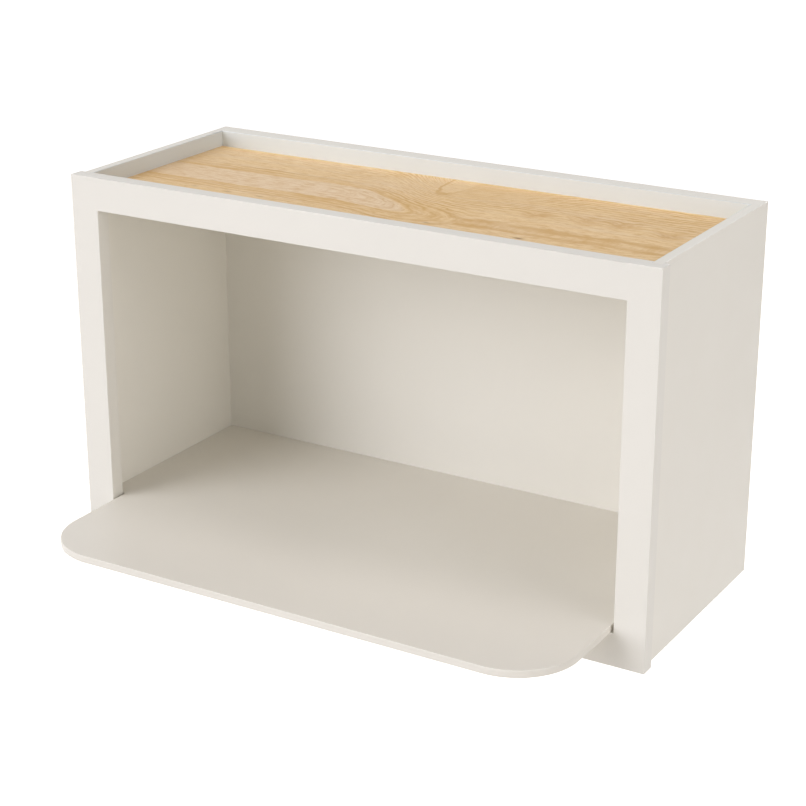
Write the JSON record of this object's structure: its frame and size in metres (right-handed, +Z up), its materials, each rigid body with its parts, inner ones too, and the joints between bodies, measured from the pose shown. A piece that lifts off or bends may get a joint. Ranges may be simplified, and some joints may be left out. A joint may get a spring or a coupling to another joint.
{
  "type": "microwave wall cabinet",
  "caption": "Painted face-frame wall cabinet for a microwave oven, open in front, with a round-cornered shelf that reaches out past the frame and a recessed maple top.",
  "frame": {"origin": "on the wall plane, at the middle of the cabinet's lower rear edge", "axes": "+Z up, +Y into the wall that carries the cabinet, +X to the right for a person in front of it"},
  "size_m": [0.762, 0.4583, 0.4572],
  "materials": {
    "frame_paint": "satin off-white paint on solid hardwood",
    "panel_paint": "satin off-white paint on plywood",
    "shelf_paint": "satin off-white paint on a fibreboard shelf",
    "maple_plywood": "clear-sealed maple veneer plywood",
    "bare_hardwood": "bare planed hardwood",
    "zinc_steel": "bright zinc-plated steel"
  },
  "bodies": {
    "root": {"left_stile": "frame_paint", "right_stile": "frame_paint", "top_rail": "frame_paint", "bottom_rail": "frame_paint", "frame_dowels": "bare_hardwood", "left_side_panel": "panel_paint", "right_side_panel": "panel_paint", "top_panel": "maple_plywood", "back_panel": "panel_paint", "upper_hanging_rail": "maple_plywood", "lower_hanging_rail": "maple_plywood", "microwave_shelf": "shelf_paint", "left_shelf_cleat": "bare_hardwood", "right_shelf_cleat": "bare_hardwood", "cleat_screws": "zinc_steel", "shelf_screws": "zinc_steel", "rail_staples": "zinc_steel", "panel_staples": "zinc_steel"}
  },
  "joints": []
}
